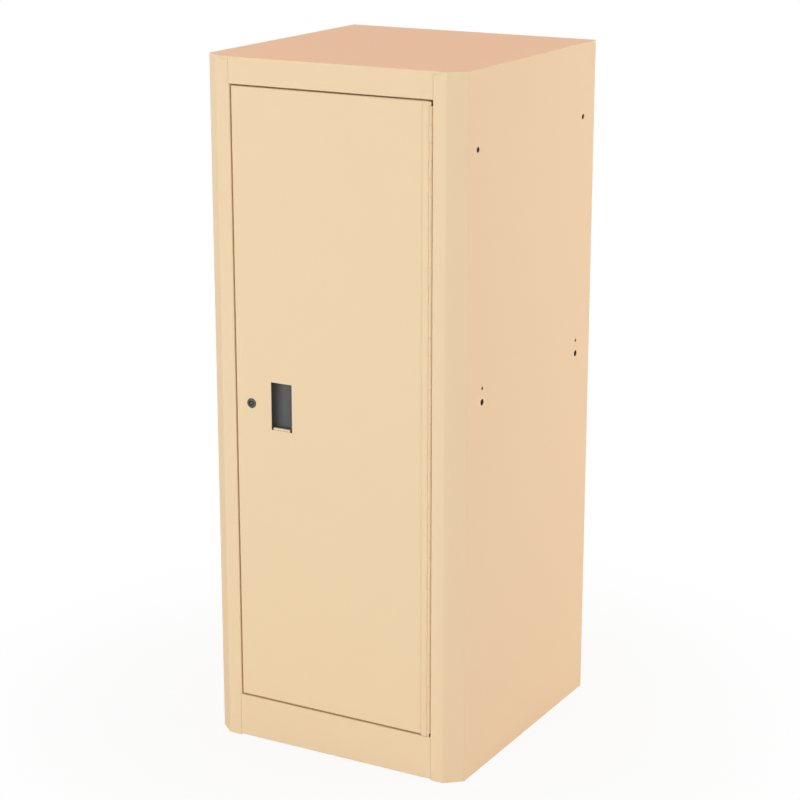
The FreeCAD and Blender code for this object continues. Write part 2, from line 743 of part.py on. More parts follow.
def lock_cam():
    """The flat cam, which hangs down when the door is unlocked and turns behind the landing to lock it."""
    y = barrel_end
    half = CAM_WIDTH / 2
    hub = rod(half, vec(lock_x, y, lock_z), Y_AXIS, CAM_SHEET)
    arm = box(lock_x - half, lock_x + half, y, y + CAM_SHEET, lock_z - CAM_LENGTH, lock_z)
    tip = [
        e for e in arm.Edges
        if abs(e.tangentAt(0).y) > 0.9 and abs(e.CenterOfMass.z - lock_z + CAM_LENGTH) < 1e-6
    ]
    arm = arm.makeFillet(half / 2, tip)
    return cut(fuse([hub, arm]), [tail_hole(y - 1, y + CAM_SHEET + 1)])


def hexagon(flats):
    """A hexagon round the lock's axis, by its width across the flats."""
    radius = flats / math.sqrt(3)
    turns = [math.radians(60 * k) for k in range(6)]
    return [(lock_x + radius * math.cos(t), lock_z + radius * math.sin(t)) for t in turns]


def cam_screw():
    seat = barrel_end + CAM_SHEET
    shank = rod(CAM_SCREW_RADIUS, vec(lock_x, seat - CAM_SCREW_LENGTH, lock_z), Y_AXIS, CAM_SCREW_LENGTH)
    head = prism(hexagon(CAM_SCREW_FLATS), in_xz(seat), vec(0, CAM_SCREW_HEIGHT, 0))
    return fuse([shank, head])


def lock_nut():
    """The hexagon nut that holds the barrel from inside the pan."""
    y = front + SHEET
    nut = prism(hexagon(LOCK_NUT_FLATS), in_xz(y), vec(0, LOCK_NUT_HEIGHT, 0))
    bore = rod(BARREL_RADIUS + LOCK_HOLE_GAP, vec(lock_x, y - 1, lock_z), Y_AXIS, LOCK_NUT_HEIGHT + 2)
    return cut(nut, [bore])


# ---------------------------------------------------------------- piano hinge


def knuckle_spans():
    """(low, high) of each knuckle from the bottom up. The even ones belong to the frame leaf."""
    low = leaf_bottom + KNUCKLE_MARGIN
    high = leaf_top - KNUCKLE_MARGIN
    count = 2 * int((high - low) / KNUCKLE_LENGTH / 2) + 1
    step = (high - low) / count
    return [(low + k * step, low + (k + 1) * step) for k in range(count)]


def knuckle_ring(low, high):
    height = high - low - 2 * KNUCKLE_GAP
    start = vec(pin_x, pin_y, low + KNUCKLE_GAP)
    return rod(KNUCKLE_RADIUS, start, Z_AXIS, height)


def pin_rod(radius):
    spans = knuckle_spans()
    return rod(radius, vec(pin_x, pin_y, spans[0][0]), Z_AXIS, spans[-1][1] - spans[0][0])


def hinge_door_leaf():
    """The leaf on the door's face, flush with it, with every second knuckle and bare ends."""
    inner = pin_x - KNUCKLE_RADIUS - KNUCKLE_CUT
    leaf = box(leaf_edge + LEAF_SEAT_GAP, inner, front, front + HINGE_SHEET, leaf_bottom, leaf_top)
    spans = knuckle_spans()
    roots = [(low + KNUCKLE_GAP, high - KNUCKLE_GAP, pin_x) for low, high in spans[1::2]]
    reach = pin_x + BARE_END_REACH
    roots += [(leaf_bottom, spans[0][0] - KNUCKLE_GAP, reach), (spans[-1][1] + KNUCKLE_GAP, leaf_top, reach)]
    shapes = [leaf]
    shapes += [box(inner, end, front, front + HINGE_SHEET, low, high) for low, high, end in roots]
    shapes += [knuckle_ring(low, high) for low, high in spans[1::2]]
    return cut(fuse(shapes), [pin_rod(PIN_RADIUS + PIN_GAP)])


def frame_leaf_plan(near):
    """Plan of the leaf on the stile's return: flat, with a set-off towards the knuckle."""
    seat = hinge_x
    inner = seat - HINGE_SHEET
    knuckle_side = pin_x + KNUCKLE_RADIUS
    bend_y = pin_y + KNUCKLE_RADIUS + KNUCKLE_CUT + HINGE_SWING_GAP
    end_y = pin_y + HINGE_LEAF
    if near:
        return [
            (knuckle_side - HINGE_SHEET, pin_y), (knuckle_side, pin_y),
            (seat, bend_y), (inner, bend_y),
        ]
    return [(inner, bend_y), (seat, bend_y), (seat, end_y), (inner, end_y)]


def hinge_frame_leaf():
    """The leaf on the stile's return, with the other knuckles."""
    height = leaf_top - leaf_bottom
    shapes = [prism(frame_leaf_plan(False), in_xy(leaf_bottom), vec(0, 0, height))]
    for low, high in knuckle_spans()[0::2]:
        z = low + KNUCKLE_GAP
        root = prism(frame_leaf_plan(True), in_xy(z), vec(0, 0, high - low - 2 * KNUCKLE_GAP))
        shapes += [root, knuckle_ring(low, high)]
    return cut(fuse(shapes), [pin_rod(PIN_RADIUS + PIN_GAP)])


# ---------------------------------------------------------------- bumpers and catches


def door_bumpers():
    """Rubber pads on the latch stile's landing."""
    x = latch_x + LANDING / 2
    half = BUMPER_WIDTH / 2
    rise = BUMPER_LENGTH / 2
    return Part.Compound([
        box(x - half, x + half, liner_back + BUMPER_GAP, landing_y, z - rise, z + rise)
        for z in (door_bottom + BUMPER_END_MARGIN, door_top - BUMPER_END_MARGIN)
    ])


def catch_heights():
    return door_bottom + CATCH_END_MARGIN, door_top - CATCH_END_MARGIN


def catch_face():
    """Depth of the catch's poles, just behind the strike."""
    return liner_back + STRIKE_SHEET + CATCH_GAP


def catch_housings():
    """Plastic bodies beside the latch landing, each with an ear that lies behind it."""
    x0 = latch_x + LANDING + FIT
    y0 = catch_face() + POLE_PROUD
    ear_y = landing_y + SHEET
    half = CATCH_HEIGHT / 2
    housings = []
    for z in catch_heights():
        body = box(x0, x0 + CATCH_WIDTH, y0, y0 + CATCH_DEPTH, z - half, z + half)
        ear = box(x0 - CATCH_EAR, x0 + 1, ear_y, ear_y + CATCH_EAR_SHEET, z - half, z + half)
        pocket = box(
            x0 + CATCH_WALL, x0 + CATCH_WIDTH - CATCH_WALL, y0 - 1, y0 + CATCH_DEPTH - CATCH_WALL,
            z - half + CATCH_WALL, z + half - CATCH_WALL,
        )
        housings.append(cut(fuse([body, ear]), [pocket]))
    return Part.Compound(housings)


def catch_magnets():
    """A magnet between two pole plates in each housing. The poles stand a little proud."""
    x0 = latch_x + LANDING + FIT + CATCH_WALL
    x1 = x0 + CATCH_WIDTH - 2 * CATCH_WALL
    y0 = catch_face()
    y1 = y0 + POLE_PROUD + CATCH_DEPTH - CATCH_WALL
    half = CATCH_HEIGHT / 2 - CATCH_WALL - FIT
    magnets = []
    for z in catch_heights():
        core = box(x0 + POLE_SHEET, x1 - POLE_SHEET, y0 + 2 * POLE_PROUD, y1, z - half, z + half)
        poles = [
            box(x, x + POLE_SHEET, y0, y1, z - half, z + half) for x in (x0 + FIT, x1 - POLE_SHEET - FIT)
        ]
        magnets.append(fuse([core] + poles))
    return Part.Compound(magnets)


def catch_strikes():
    """Steel plates on the back of the liner, opposite the poles."""
    x0 = latch_x + LANDING + FIT + STRIKE_MARGIN
    half = CATCH_HEIGHT / 2 - STRIKE_MARGIN
    return Part.Compound([
        box(x0, x0 + CATCH_WIDTH, liner_back, liner_back + STRIKE_SHEET, z - half, z + half)
        for z in catch_heights()
    ])


def build():
    """Every node's shape by name."""
    nodes = {
        "left_side_panel": mirrored(side_panel(LATCH_STILE)),
        "right_side_panel": side_panel(HINGE_STILE),
        "back_panel": back_panel(),
        "top_panel": top_panel(),
        "floor_panel": floor_panel(),
        "door_skin": door_skin(),
        "door_liner": door_liner(),
        "door_stiffener": door_stiffener(),
        "pull_cup": pull_cup(),
        "lock_barrel": lock_barrel(),
        "lock_nut": lock_nut(),
        "lock_plug": lock_plug(),
        "lock_cam": lock_cam(),
        "cam_screw": cam_screw(),
        "hinge_door_leaf": hinge_door_leaf(),
        "hinge_frame_leaf": hinge_frame_leaf(),
        "hinge_pin": pin_rod(PIN_RADIUS),
        "door_bumpers": door_bumpers(),
        "catch_housings": catch_housings(),
        "catch_magnets": catch_magnets(),
        "catch_strikes": catch_strikes(),
    }
    for place, y in zip(("front", "rear"), standard_places()):
        strip = shelf_standard(y)
        nodes["right_" + place + "_shelf_standard"] = strip
        nodes["left_" + place + "_shelf_standard"] = mirrored(strip)
    for name, slot in zip(("lower", "middle", "upper"), SHELF_SLOTS):
        nodes[name + "_shelf"] = shelf(shelf_level(slot))
        nodes[name + "_shelf_clips"] = shelf_clips(slot)
    return nodes


os.makedirs("parts", exist_ok=True)
for name, shape in build().items():
    shape.exportStep("parts/" + name + ".step")
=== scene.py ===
import json
import math

import bmesh
import bpy
from mathutils import Euler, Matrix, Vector


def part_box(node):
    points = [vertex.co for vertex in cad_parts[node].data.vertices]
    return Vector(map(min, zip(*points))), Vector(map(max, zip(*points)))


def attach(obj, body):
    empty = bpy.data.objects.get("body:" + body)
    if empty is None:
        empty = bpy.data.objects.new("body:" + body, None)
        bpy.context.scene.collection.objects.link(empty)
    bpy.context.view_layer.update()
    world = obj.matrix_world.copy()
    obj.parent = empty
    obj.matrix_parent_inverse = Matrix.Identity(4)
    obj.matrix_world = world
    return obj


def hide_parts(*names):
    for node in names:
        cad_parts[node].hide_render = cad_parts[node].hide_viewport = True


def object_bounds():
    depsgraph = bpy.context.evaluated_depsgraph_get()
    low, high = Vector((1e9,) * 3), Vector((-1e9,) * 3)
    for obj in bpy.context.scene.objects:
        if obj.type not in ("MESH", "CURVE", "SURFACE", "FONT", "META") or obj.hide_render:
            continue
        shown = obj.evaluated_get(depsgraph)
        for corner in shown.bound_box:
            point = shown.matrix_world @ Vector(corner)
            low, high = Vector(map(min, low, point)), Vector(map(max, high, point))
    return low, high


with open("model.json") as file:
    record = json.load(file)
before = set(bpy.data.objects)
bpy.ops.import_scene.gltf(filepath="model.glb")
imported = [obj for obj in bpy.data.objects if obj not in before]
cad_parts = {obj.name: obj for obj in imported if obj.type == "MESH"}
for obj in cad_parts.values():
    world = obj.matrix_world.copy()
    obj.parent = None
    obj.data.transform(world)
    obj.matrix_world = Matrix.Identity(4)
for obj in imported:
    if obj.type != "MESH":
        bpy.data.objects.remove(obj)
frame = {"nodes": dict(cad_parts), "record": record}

# The finished look of a tool chest side locker. Everything is in metres, in the frame that the
# solids were packed in: +X to the right seen from the front, +Y to the back, +Z up, with the
# origin on the floor under the cabinet. Angles are in degrees.

cad_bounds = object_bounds()
MM = 0.001

# Camera
CAMERA_PLACE = (1.6634, -2.988, 1.5055)
CAMERA_AZIMUTH = 29.196
CAMERA_ELEVATION = 15.938
LENS = 100.264  # mm
SENSOR_WIDTH = 36  # mm

# Studio
WHITE = (1, 1, 1, 1)
FLOOR_SIZE = 80.0
FLOOR_GREY = (0.8, 0.8, 0.8, 1)
FLOOR_GLOW = 0.9  # share of plain white in the floor near the cabinet. The rest shows the shadow
FLOOR_NEAR = 0.3  # from the middle of the cabinet
FLOOR_FAR = 0.9  # from here on the floor is plain white
SOFT_LIGHT = (0.315, 0.302, 0.303, 1)
LAMPS = [  # name, azimuth, elevation, distance, width, power, colour
    ("front_box", -7, 10, 4.5, 2.8, 114, (0.928, 1.048, 1.04)),
    ("right_box", 113, 10, 4.5, 2.8, 103, (0.995, 1.01, 1.006)),
    ("top_box", 0, 90, 3.0, 2.2, 24.5, (1.341, 0.87, 0.87)),
    ("left_box", -125, 4, 4.5, 2.5, 80, (1.0, 0.88, 0.85)),
    ("back_box", 180, 4, 4.5, 2.5, 50, (1.0, 1.0, 1.0)),
]

# Paint
SAND = (0.863, 0.647, 0.421)
SAND_DEEP = (0.851, 0.633, 0.408)
SAND_PAINTED_HIGHLIGHT = (0.95, 0.76, 0.53)  # painted highlight: lighter paint on the pull's lip in place of the light it catches
# painted shade in the crease under the pull's lip, and how softly it ends at its top
PAINTED_SHADE = (0.4, 0.262, 0.16)
PAINTED_SHADE_FADE = 0.2 * MM
PAINT_ROUGHNESS = 0.55
PAINT_SHINE = 0.03
CLOUD_SIZE = 350 * MM  # of the unevenness in the colour
SPECK_SIZE = 1.6 * MM
PEEL_SIZE = 2.2 * MM  # of the orange peel
PEEL_HEIGHT = 0.06 * MM
WAVE_SIZE = 120 * MM  # of the unevenness in the sheet
WAVE_HEIGHT = 1.2 * MM

# Spot welds down the rear flanges
WELD_PITCH = 100 * MM
WELD_RADIUS = 2.6 * MM
WELD_FLAT = 0.7  # share of the radius that is flat
WELD_DEPTH = 0.25 * MM
WELD_INSET = 9.5 * MM  # cabinet side to the welds
WELD_REACH = 0.3 * MM  # how far in front of the cabinet's back the dents show

# Screws of the door's liner
SCREW_RADIUS = 4.0 * MM
SCREW_HEIGHT = 1.8 * MM
SCREW_INSET = 9.0 * MM
SCREWS_UP = 8
SCREWS_ACROSS = 3
SCREW_STEPS = 40
SCREW_CROWN = [  # (share of the radius, share of the height), from the rim to the middle
    (1.0, 0.0), (1.0, 0.35), (0.94, 0.62), (0.82, 0.84), (0.66, 0.96), (0.5, 1.0), (0.4, 1.0),
    (0.3, 1.0), (0.2, 1.0), (0.12, 1.0), (0.0, 1.0),
]
CROSS_WIDTH = 0.1  # half the width of the cross recess, as a share of the radius
CROSS_REACH = 0.52
CROSS_DEPTH = 0.75  # in the middle, as a share of the height
CROSS_RISE = 0.7  # from the middle to the radius
CROSS_START = 0.9  # share of the height that the recess is cut from

# Piano hinge
KNUCKLE_RADIUS = 2.75 * MM
KNUCKLE_STEPS = 40
BORE_RADIUS = 1.25 * MM
BORE_STEPS = 24
HINGE_SHEET = 1.15 * MM
KNUCKLE_PITCH = 25.4 * MM
KNUCKLE_GAP = 0.12 * MM
KNUCKLE_MARGIN = 5.8 * MM  # bare end of a leaf
LEAF_CUT = 0.2 * MM  # leaf edge to the other leaf's knuckles
BARE_END_REACH = 0.7 * MM  # past the pin's axis
LEAF_BEND_GAP = 0.8 * MM  # knuckle to the flat of the frame leaf
HINGE_LAP = 0.4 * MM  # knuckle root over its leaf
HINGE_EDGE = 0.12 * MM  # rounding of a leaf's edges
RIVET_RADIUS = 2.3 * MM
RIVET_HEIGHT = 0.8 * MM
RIVET_STEPS = 20
RIVETS = 9
RIVET_END = 40.0 * MM  # leaf end to the first rivet

# Recessed pull
CUP_WALL = 1.2 * MM
CUP_DEPTH = 12.2 * MM
CUP_SHALLOW = 3.4 * MM
CUP_STEEP_RUN = 13.5 * MM  # depth that the steep left side keeps its direction for
CUP_STEEP_LEAN = 0.15
CUP_DEEPEST = 20.0 * MM  # left edge of the pull to the deepest place
CUP_DEEP_BEND = 10.0 * MM
CUP_BACK_BEND = 7.0 * MM
CUP_SLOPE = 0.42
CUP_STEPS = 24
CUP_EDGE = 0.5 * MM  # rounding at the hollow's ends
CUP_FLOOR_RISE = 3.8 * MM
CUP_TAB_ROOM = 4.1 * MM
CUP_RIM = 10.0 * MM
CUP_RIM_THICKNESS = 2.0 * MM
CUP_RIM_CORNER = 3.0 * MM
CUP_RIM_STEPS = 6
MOUTH_DEPTH = 0.1 * MM  # flat cut that opens the hollow in the rim's face
HOLLOW_START = 0.05 * MM
CUT_OVERLAP = 0.1 * MM
CUP_GREY = (0.119, 0.115, 0.114)
CUP_PAINTED_SHADE = 0.64  # painted shade: how dark the cup is made on its deep left side
CUP_SHADE_FADE_START = 2.5 * MM  # from the pull's left edge. The painted shade fades out from here to the end below
CUP_SHADE_FADE_END = 17.5 * MM

# Rolled lip of the tab at the foot of the pull
TAB_NOTCH = 3.6 * MM  # width and height of the notches beside the tab
TAB_SIDE_GAP = 0.1 * MM
LIP_CREST = -1.6 * MM  # above the tab's top, like the lip's profile
LIP_EDGE = 0.15 * MM
# The lip's profile in mm: (behind the door's face, above the tab's top). Two curves go from its
# foot over the front to its top, and corners go down its back.
LIP_FOOT = ((0.0, -2.9), (-0.62, -2.33), (-1.18, -1.62), (-1.2, -1.5))
LIP_FOOT_STEPS = 3
LIP_ROLL = ((-1.2, -1.5), (-1.2, -1.0), (-0.3, 0.45), (0.8, 0.45))
LIP_ROLL_STEPS = 5
LIP_BACK = [(1.8, 0.45), (1.8, -0.6), (0.6, -2.0), (0.6, -2.9)]

# Meshes
MERGE_DISTANCE = 1e-7
LEVEL = 1e-9  # an edge is level when its ends differ less in height
CORNER_TURN = 1.2  # radians. Level edges that turn more are rounded

# Sockets that share their name with others of their node, by place
MIX_COLOURS = (6, 7)
MIX_RESULT = 2
LINE_END = 3


# ---------------------------------------------------------------- node trees


class Value:
    """A node's output that takes part in Python expressions. Each operation adds a Math node."""

    def __init__(self, tree, socket):
        self.tree = tree
        self.socket = socket

    def __add__(self, other):
        return self.tree.math("ADD", self, other)

    def __sub__(self, other):
        return self.tree.math("SUBTRACT", self, other)

    def __rsub__(self, other):
        return self.tree.math("SUBTRACT", other, self)

    def __mul__(self, other):
        return self.tree.math("MULTIPLY", self, other)

    def __truediv__(self, other):
        return self.tree.math("DIVIDE", self, other)

    def __rtruediv__(self, other):
        return self.tree.math("DIVIDE", other, self)

    def __gt__(self, other):
        return self.tree.math("GREATER_THAN", self, other)

    __radd__ = __add__
    __rmul__ = __mul__


class NodeTree:
    """A node tree that is filled in by calls."""

    def __init__(self, tree):
        self.tree = tree

    def node(self, kind, settings=None, inputs=None, output=0):
        """Adds a node: first its settings, then the values or links of its sockets.

        Gives back one of its outputs, by name or place.
        """
        made = self.tree.nodes.new(kind)
        for name, value in (settings or {}).items():
            setattr(made, name, value)
        for name, value in (inputs or {}).items():
            for each in value if isinstance(value, list) else [value]:
                if isinstance(each, Value):
                    self.tree.links.new(each.socket, made.inputs[name])
                else:
                    made.inputs[name].default_value = each
        return Value(self, made.outputs[output]) if len(made.outputs) else made

    def math(self, operation, *values):
        return self.node("ShaderNodeMath", {"operation": operation}, dict(enumerate(values)))

    def blend(self, amount, low, high):
        """A colour between two others."""
        ends = {
            key: end if isinstance(end, Value) else (*end, 1.0)
            for key, end in zip(MIX_COLOURS, (low, high))
        }
        settings = {"data_type": "RGBA"}
        return self.node("ShaderNodeMix", settings, {"Factor": amount, **ends}, MIX_RESULT)

    def axis(self, name, place):
        return self.node("ShaderNodeSeparateXYZ", None, {"Vector": place}, name)


class Layout(NodeTree):
    """A Geometry Nodes tree that sets turned copies of a piece at points, from named inputs."""

    SOCKETS = {
        "count": "NodeSocketInt",
        "place": "NodeSocketVector",
        "piece": "NodeSocketObject",
        "finish": "NodeSocketMaterial",
    }

    def __init__(self, name, inputs):
        super().__init__(bpy.data.node_groups.new(name, "GeometryNodeTree"))
        sockets = self.tree.interface
        sockets.new_socket("Geometry", in_out="OUTPUT", socket_type="NodeSocketGeometry")
        kinds = {"Piece": "piece", "Turn": "place", "Finish": "finish", **inputs}
        self.identifiers = {
            label: sockets.new_socket(label, in_out="INPUT", socket_type=self.SOCKETS[kind]).identifier
            for label, kind in kinds.items()
        }
        self.group_input = self.tree.nodes.new("NodeGroupInput")

    def given(self, label):
        return Value(self, self.group_input.outputs[label])

    def row(self, start, end, count):
        """Evenly spaced points."""
        places = {"Count": count, "Start Location": start, LINE_END: end}
        return self.node("GeometryNodeMeshLine", {"mode": "END_POINTS"}, places)

    def end(self, points):
        """Ends the tree with the copies at the points, made real and given their finish."""
        piece = self.node("GeometryNodeObjectInfo", None, {"Object": self.given("Piece")}, "Geometry")
        placing = {"Points": points, "Instance": piece, "Rotation": self.given("Turn")}
        copies = self.node("GeometryNodeInstanceOnPoints", None, placing)
        real = self.node("GeometryNodeRealizeInstances", None, {"Geometry": copies})
        dressing = {"Geometry": real, "Material": self.given("Finish")}
        dressed = self.node("GeometryNodeSetMaterial", None, dressing)
        self.node("NodeGroupOutput", None, {"Geometry": dressed})

    def make(self, name, values):
        """A plain mesh object that the tree makes from these values."""
        holder = linked(name + "_layout", bpy.data.meshes.new(name + "_layout"))
        modifier = holder.modifiers.new("layout", "NODES")
        modifier.node_group = self.tree
        for label, value in values.items():
            modifier[self.identifiers[label]] = value
        mesh = evaluated_mesh(holder)
        bpy.data.objects.remove(holder)
        mesh.name = name
        one_finish(mesh, values["Finish"])
        return linked(name, mesh)


def linked(name, data):
    """An object of this data, in the scene."""
    made = bpy.data.objects.new(name, data)
    bpy.context.scene.collection.objects.link(made)
    return made


def evaluated_mesh(holder):
    """The mesh that an object's modifiers make."""
    bpy.context.view_layer.update()
    graph = bpy.context.evaluated_depsgraph_get()
    return bpy.data.meshes.new_from_object(holder.evaluated_get(graph))


def one_finish(mesh, finish):
    """Gives every face of the mesh the same material."""
    mesh.materials.clear()
    mesh.materials.append(finish)
    for face in mesh.polygons:
        face.material_index = 0


class Finish(NodeTree):
    """A material whose patterns follow the object's own coordinates."""

    def __init__(self, name):
        self.material = bpy.data.materials.new(name)
        self.material.use_nodes = True
        super().__init__(self.material.node_tree)
        self.tree.nodes.clear()
        self.place = self.node("ShaderNodeTexCoord", output="Object")

    def along(self, name):
        """The place along the object's own X, Y or Z."""
        return self.axis(name, self.place)

    def noise(self, size, detail, stretch=(1, 1, 1)):
        """Smooth noise between 0 and 1, whose blobs are about size across."""
        scaling = {0: self.place, 1: tuple(s / size for s in stretch)}
        place = self.node("ShaderNodeVectorMath", {"operation": "MULTIPLY"}, scaling)
        pattern = {"Vector": place, "Scale": 1.0, "Detail": detail}
        return self.node("ShaderNodeTexNoise", {"noise_dimensions": "3D"}, pattern, "Fac")

    def around(self, middle, *swings):
        """A value that varies round its middle. Each swing is a noise and how much it does."""
        return sum(((noise - 0.5) * amount for noise, amount in swings), middle)

    def step(self, value, low, high, start=0.0, end=1.0):
        """Goes smoothly from start to end as value goes from low to high."""
        ends = {"Value": value, "From Min": low, "From Max": high, "To Min": start, "To Max": end}
        return self.node("ShaderNodeMapRange", {"interpolation_type": "SMOOTHSTEP"}, ends)

    def bump(self, height, distance, strength=1.0, normal=None):
        inputs = {"Height": height, "Distance": distance, "Strength": strength}
        if normal is not None:
            inputs["Normal"] = normal
        return self.node("ShaderNodeBump", None, inputs)

    def surface(self, **inputs):
        """Ends the tree with a Principled shader and gives back the material."""
        named = {name.replace("_", " "): value for name, value in inputs.items()}
        shader = self.node("ShaderNodeBsdfPrincipled", None, named)
        self.node("ShaderNodeOutputMaterial", None, {"Surface": shader})
        return self.material


# ---------------------------------------------------------------- finishes


def powder_coat(name, light, deep, welded=False, shaded_below=None):
    """Baked powder coat: an even colour, a fine orange peel and sheet that is never quite flat.

    It can show the dents of the spot welds, and a painted shade below a height.
    """
    finish = Finish(name)
    cloud = finish.noise(CLOUD_SIZE, detail=3)
    speck = finish.noise(SPECK_SIZE, detail=1)
    peel = finish.noise(PEEL_SIZE, detail=2)
    wave = finish.noise(WAVE_SIZE, detail=1)
    colour = finish.blend(finish.around(0.5, (cloud, 0.9), (speck, 0.35)), deep, light)
    # painted shade: darker below the given height
    if shaded_below is not None:
        unshaded = finish.step(finish.along("Z"), shaded_below - PAINTED_SHADE_FADE, shaded_below)
        colour = finish.blend(unshaded, PAINTED_SHADE, colour)
    flat = finish.bump(wave, WAVE_HEIGHT, strength=0.35)
    if welded:
        flat = finish.bump(spot_welds(finish), WELD_DEPTH, normal=flat)
    return finish.surface(
        Base_Color=colour,
        Roughness=finish.around(PAINT_ROUGHNESS, (peel, 0.16), (cloud, 0.08)),
        Normal=finish.bump(peel, PEEL_HEIGHT, strength=0.5, normal=flat),
        Specular_IOR_Level=PAINT_SHINE,
    )


def spot_welds(finish):
    """Round dents down the rear flanges. 0 in a dent and 1 elsewhere."""
    side, back = cad_bounds[1][0], cad_bounds[1][1]
    across = finish.math("ABSOLUTE", finish.along("X")) - (side - WELD_INSET)
    up = finish.math("WRAP", finish.along("Z"), WELD_PITCH, 0.0) - WELD_PITCH / 2
    distance = finish.math("SQRT", across * across + up * up)
    dent = finish.step(distance, WELD_RADIUS * WELD_FLAT, WELD_RADIUS, 1.0, 0.0)
    return 1.0 - dent * (finish.along("Y") > back - WELD_REACH)


def moulded_plastic(name, grey, rough, shine, shaded_span=None):
    """Moulded plastic with a fine grain. A painted shade darkens it below one X and fades out by
    another.
    """
    finish = Finish(name)
    grain = finish.noise(0.5 * MM, detail=2)
    cloud = finish.noise(20 * MM, detail=2)
    colour = finish.blend(cloud, tuple(g * 0.9 for g in grey), tuple(g * 1.1 for g in grey))
    if shaded_span:
        # painted shade: darker towards low X, fading out across the span
        share = finish.step(finish.along("X"), *shaded_span)
        colour = finish.blend(share, tuple(g * CUP_PAINTED_SHADE for g in grey), colour)
    return finish.surface(
        Base_Color=colour,
        Roughness=finish.around(rough, (grain, 0.2)),
        Normal=finish.bump(grain, 0.04 * MM, strength=0.6),
        Specular_IOR_Level=shine,
    )


def plated_metal(name, dull, bright, rough):
    """Plated metal: drawn faintly one way, with cloudy patches."""
    finish = Finish(name)
    cloud = finish.noise(12 * MM, detail=3)
    drawn = finish.noise(0.9 * MM, detail=2, stretch=(1, 1, 0.06))
    return finish.surface(
        Base_Color=finish.blend(cloud, dull, bright),
        Metallic=1.0,
        Roughness=finish.around(rough, (cloud, 0.2), (drawn, 0.15)),
        Normal=finish.bump(drawn, 0.02 * MM, strength=0.5),
    )


def rubber(name, dark, light, rough):
    """Matt rubber with a fine grain."""
    finish = Finish(name)
    grain = finish.noise(0.7 * MM, detail=3)
    return finish.surface(
        Base_Color=finish.blend(grain, dark, light),
        Roughness=finish.around(rough, (grain, 0.2)),
        Normal=finish.bump(grain, 0.05 * MM, strength=0.6),
    )


body_paint = powder_coat("sand_powder_coat", SAND, SAND_DEEP, welded=True)
shelf_paint = powder_coat("shelf_powder_coat", SAND, SAND_DEEP)
tab_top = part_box("pull_cup")[0].z + CUP_RIM + TAB_NOTCH
crest = tab_top + LIP_CREST
# The lip's paint is made lighter as a painted highlight, and darker below its crest as a painted shade
# in the crease under it.
lip_paint = powder_coat("lip_powder_coat", SAND_PAINTED_HIGHLIGHT, SAND_PAINTED_HIGHLIGHT, shaded_below=crest)
cup_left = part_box("pull_cup")[0].x + CUP_RIM
# The cup's deep left side is darkened as a painted shade of the recess.
shaded_span = (cup_left + CUP_SHADE_FADE_START, cup_left + CUP_SHADE_FADE_END)
cup_plastic = moulded_plastic("dark_cup_plastic", CUP_GREY, 0.5, 0.1, shaded_span)
catch_plastic = moulded_plastic("catch_plastic", (0.03, 0.03, 0.03), 0.45, 0.35)
zinc = plated_metal("zinc_plate", (0.44, 0.44, 0.43), (0.6, 0.6, 0.58), 0.38)
lock_ring = plated_metal("lock_ring_plate", (0.12, 0.103, 0.09), (0.15, 0.13, 0.114), 0.42)
lock_face = plated_metal("lock_plug_plate", (0.112, 0.121, 0.118), (0.142, 0.153, 0.149), 0.38)
magnet = plated_metal("magnet_steel", (0.1, 0.1, 0.1), (0.2, 0.2, 0.19), 0.5)
bumper = rubber("bumper_rubber", (0.018, 0.018, 0.018), (0.035, 0.034, 0.033), 0.78)

FINISHES = {
    "body_paint": body_paint,
    "shelf_paint": shelf_paint,
    "dark_plastic": cup_plastic,
    "bumper_rubber": bumper,
    "lock_metal": lock_ring,
    "zinc_steel": zinc,
    "magnet_steel": magnet,
}
OWN_FINISHES = {"catch_housings": catch_plastic, "lock_plug": lock_face}

for part in frame["record"]["subparts"]:
    mesh = frame["nodes"][part["node"]].data
    mesh.materials.clear()
    mesh.materials.append(OWN_FINISHES.get(part["node"], FINISHES[part["material_slot"]]))


# ---------------------------------------------------------------- shapes


def mesh_object(name, shape, smooth=30):
    """The bmesh as an object, with its doubles merged and its faces turned outwards.

    Edges that turn less than the smooth angle are shaded smooth, and the others are sharp.
    """
    bmesh.ops.remove_doubles(shape, verts=shape.verts, dist=MERGE_DISTANCE)
    bmesh.ops.recalc_face_normals(shape, faces=shape.faces)
    for face in shape.faces:
        face.smooth = True
    limit = math.radians(smooth)
    for edge in shape.edges:
        edge.smooth = len(edge.link_faces) == 2 and edge.calc_face_angle(0) < limit
    mesh = bpy.data.meshes.new(name)
    shape.to_mesh(mesh)
    shape.free()
    return linked(name, mesh)


def loop(shape, points):
    """A closed loop of edges through the points."""
    corners = [shape.verts.new(p) for p in points]
    return [shape.edges.new((a, b)) for a, b in zip(corners, corners[1:] + corners[:1])]


def is_corner(edge):
    """Whether the edge is a level one with a sharp turn."""
    if len(edge.link_faces) != 2:
        return False
    rise = abs(edge.verts[0].co.z - edge.verts[1].co.z)
    return edge.calc_face_angle(0) > CORNER_TURN and rise < LEVEL


def extruded(outlines, low, high, rounding=0.0):
    """A solid between two heights. The first outline is its outside and the others are holes."""
    shape = bmesh.new()
    edges = [e for outline in outlines for e in loop(shape, [(x, y, low) for x, y in outline])]
    bmesh.ops.triangle_fill(shape, use_beauty=True, use_dissolve=False, edges=edges)
    floor = list(shape.faces)
    raised = bmesh.ops.extrude_face_region(shape, geom=floor, use_keep_orig=True)["geom"]
    lifted = [v for v in raised if isinstance(v, bmesh.types.BMVert)]
    bmesh.ops.translate(shape, vec=(0, 0, high - low), verts=lifted)
    bmesh.ops.recalc_face_normals(shape, faces=shape.faces)
    if rounding:
        bmesh.ops.bevel(
            shape, geom=[e for e in shape.edges if is_corner(e)], offset=rounding,
            segments=2, profile=0.5, affect="EDGES", clamp_overlap=True,
        )
    return shape


